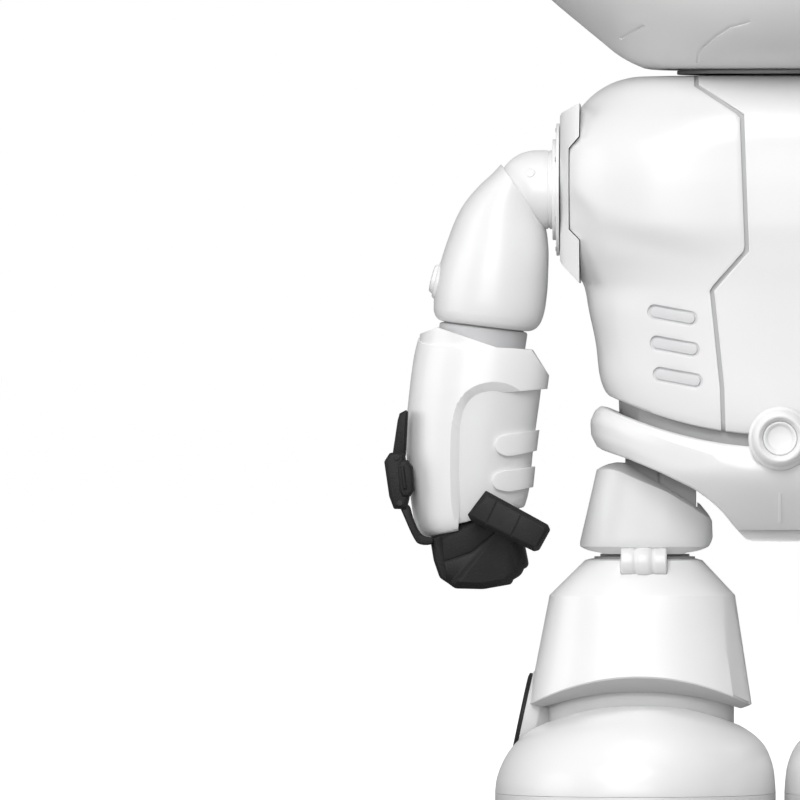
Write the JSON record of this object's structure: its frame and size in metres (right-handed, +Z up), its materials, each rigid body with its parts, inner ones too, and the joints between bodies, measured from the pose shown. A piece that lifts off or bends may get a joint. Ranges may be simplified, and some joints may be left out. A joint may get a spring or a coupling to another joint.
{
  "type": "humanoid robot kit",
  "caption": "Standing toy humanoid robot kit with a rounded white casing, turning head and waist, swinging arms with black hands, hinged legs and boot-like feet.",
  "frame": {"origin": "centre of the robot's footprint on the surface it stands on", "axes": "+Z up, the robot faces -Y, its right arm is towards -X"},
  "size_m": [0.2374, 0.1526, 0.365],
  "materials": {
    "white_shell": "satin-gloss white moulded plastic",
    "grey_plastic": "matte light grey moulded plastic",
    "dark_joint": "matte mid-grey moulded plastic",
    "black_hand": "fine-grained matte black plastic",
    "smoked_visor": "polished smoked black plastic",
    "eye_lens": "pale blue clear-coated lens",
    "circuit_board": "green solder mask"
  },
  "bodies": {
    "torso": {"chest_plate_right": "white_shell", "chest_plate_left": "white_shell", "chest_center_panel": "white_shell", "back_shell": "white_shell", "battery_door": "white_shell", "waist_collar": "grey_plastic", "torso_frame": "grey_plastic", "battery_pack": "grey_plastic", "control_board": "circuit_board", "shoulder_pod_right": "white_shell", "shoulder_pod_left": "white_shell", "shoulder_ring_right": "white_shell", "shoulder_ring_left": "white_shell"},
    "head": {"head_front_shell": "white_shell", "head_back_shell": "white_shell", "face_visor": "smoked_visor", "eye_right": "eye_lens", "eye_left": "eye_lens", "ear_disc_right": "white_shell", "ear_disc_left": "white_shell", "neck_swivel": "dark_joint"},
    "pelvis": {"pelvis_shell": "white_shell", "buckle_ring": "white_shell"},
    "button": {"power_button": "white_shell"},
    "shoulder_right": {"shoulder_ball_right": "white_shell"},
    "upper_arm_right": {"upper_arm_right": "white_shell", "elbow_cap_right": "white_shell"},
    "forearm_right": {"elbow_neck_right": "grey_plastic", "forearm_shell_right": "white_shell", "forearm_core_right": "white_shell", "palm_right": "black_hand"},
    "thumb_right": {"thumb_right": "black_hand"},
    "finger_right": {"finger_link_right": "black_hand"},
    "fingertip_right": {"finger_tip_right": "black_hand"},
    "thigh_right": {"hip_drum_right": "dark_joint", "thigh_right": "white_shell", "knee_hinge_right": "white_shell"},
    "shin_right": {"shin_right": "white_shell", "ankle_core_right": "grey_plastic", "ankle_disc_right": "black_hand"},
    "foot_right": {"foot_shell_right": "white_shell", "foot_base_right": "grey_plastic"},
    "shoulder_left": {"shoulder_ball_left": "white_shell"},
    "upper_arm_left": {"upper_arm_left": "white_shell", "elbow_cap_left": "white_shell"},
    "forearm_left": {"elbow_neck_left": "grey_plastic", "forearm_shell_left": "white_shell", "forearm_core_left": "white_shell", "palm_left": "black_hand"},
    "thumb_left": {"thumb_left": "black_hand"},
    "finger_left": {"finger_link_left": "black_hand"},
    "fingertip_left": {"finger_tip_left": "black_hand"},
    "thigh_left": {"hip_drum_left": "dark_joint", "thigh_left": "white_shell", "knee_hinge_left": "white_shell"},
    "shin_left": {"shin_left": "white_shell", "ankle_core_left": "grey_plastic", "ankle_disc_left": "black_hand"},
    "foot_left": {"foot_shell_left": "white_shell", "foot_base_left": "grey_plastic"}
  },
  "joints": [
    {"name": "head_yaw", "type": "hinge", "parent": "torso", "child": "head", "pos_m": [0, 0, 0.2457], "axis": [0, 0, 1], "range_deg": [-70, 70]},
    {"name": "waist_yaw", "type": "hinge", "parent": "torso", "child": "pelvis", "pos_m": [0, 0, 0.1374], "axis": [0, 0, 1], "range_deg": [-10, 10]},
    {"name": "power_button_press", "type": "slide", "parent": "pelvis", "child": "button", "axis": [0, 1, 0], "range_m": [0, 0.0012], "stiffness_N_per_m": 500},
    {"name": "shoulder_pitch_right", "type": "hinge", "parent": "torso", "child": "shoulder_right", "pos_m": [-0.073, 0, 0.2116], "axis": [-1, 0, 0], "range_deg": [-45, 110]},
    {"name": "shoulder_roll_right", "type": "hinge", "parent": "shoulder_right", "child": "upper_arm_right", "pos_m": [-0.073, 0, 0.2116], "axis": [0, 1, 0], "range_deg": [0, 50]},
    {"name": "forearm_twist_right", "type": "hinge", "parent": "upper_arm_right", "child": "forearm_right", "pos_m": [-0.0891, 0, 0.1685], "axis": [0.1219, 0, 0.9925], "range_deg": [-80, 80]},
    {"name": "thumb_swing_right", "type": "hinge", "parent": "forearm_right", "child": "thumb_right", "pos_m": [-0.088, -0.02, 0.1136], "axis": [0, -1, 0], "range_deg": [-8, 25]},
    {"name": "finger_base_right", "type": "hinge", "parent": "forearm_right", "child": "finger_right", "pos_m": [-0.1056, -0.0115, 0.105], "axis": [0, -1, 0], "range_deg": [0, 35]},
    {"name": "finger_knuckle_right", "type": "hinge", "parent": "finger_right", "child": "fingertip_right", "pos_m": [-0.1137, -0.0115, 0.1178], "axis": [0, -1, 0], "range_deg": [0, 40]},
    {"name": "hip_pitch_right", "type": "hinge", "parent": "pelvis", "child": "thigh_right", "pos_m": [-0.0358, 0, 0.1195], "axis": [-1, 0, 0], "range_deg": [-10, 10]},
    {"name": "knee_bend_right", "type": "hinge", "parent": "thigh_right", "child": "shin_right", "pos_m": [-0.04075, -0.015, 0.1003], "axis": [1, 0, 0], "range_deg": [0, 18]},
    {"name": "ankle_pitch_right", "type": "hinge", "parent": "shin_right", "child": "foot_right", "pos_m": [-0.0425, 0, 0.044], "axis": [-1, 0, 0], "range_deg": [-5, 5]},
    {"name": "shoulder_pitch_left", "type": "hinge", "parent": "torso", "child": "shoulder_left", "pos_m": [0.073, 0, 0.2116], "axis": [-1, 0, 0], "range_deg": [-45, 110]},
    {"name": "shoulder_roll_left", "type": "hinge", "parent": "shoulder_left", "child": "upper_arm_left", "pos_m": [0.073, 0, 0.2116], "axis": [0, -1, 0], "range_deg": [0, 50]},
    {"name": "forearm_twist_left", "type": "hinge", "parent": "upper_arm_left", "child": "forearm_left", "pos_m": [0.0891, 0, 0.1685], "axis": [-0.1219, 0, 0.9925], "range_deg": [-80, 80]},
    {"name": "thumb_swing_left", "type": "hinge", "parent": "forearm_left", "child": "thumb_left", "pos_m": [0.088, -0.02, 0.1136], "axis": [0, 1, 0], "range_deg": [-8, 25]},
    {"name": "finger_base_left", "type": "hinge", "parent": "forearm_left", "child": "finger_left", "pos_m": [0.1056, -0.0115, 0.105], "axis": [0, 1, 0], "range_deg": [0, 35]},
    {"name": "finger_knuckle_left", "type": "hinge", "parent": "finger_left", "child": "fingertip_left", "pos_m": [0.1137, -0.0115, 0.1178], "axis": [0, 1, 0], "range_deg": [0, 40]},
    {"name": "hip_pitch_left", "type": "hinge", "parent": "pelvis", "child": "thigh_left", "pos_m": [0.0358, 0, 0.1195], "axis": [-1, 0, 0], "range_deg": [-10, 10]},
    {"name": "knee_bend_left", "type": "hinge", "parent": "thigh_left", "child": "shin_left", "pos_m": [0.04075, -0.015, 0.1003], "axis": [1, 0, 0], "range_deg": [0, 18]},
    {"name": "ankle_pitch_left", "type": "hinge", "parent": "shin_left", "child": "foot_left", "pos_m": [0.0425, 0, 0.044], "axis": [-1, 0, 0], "range_deg": [-5, 5]}
  ]
}
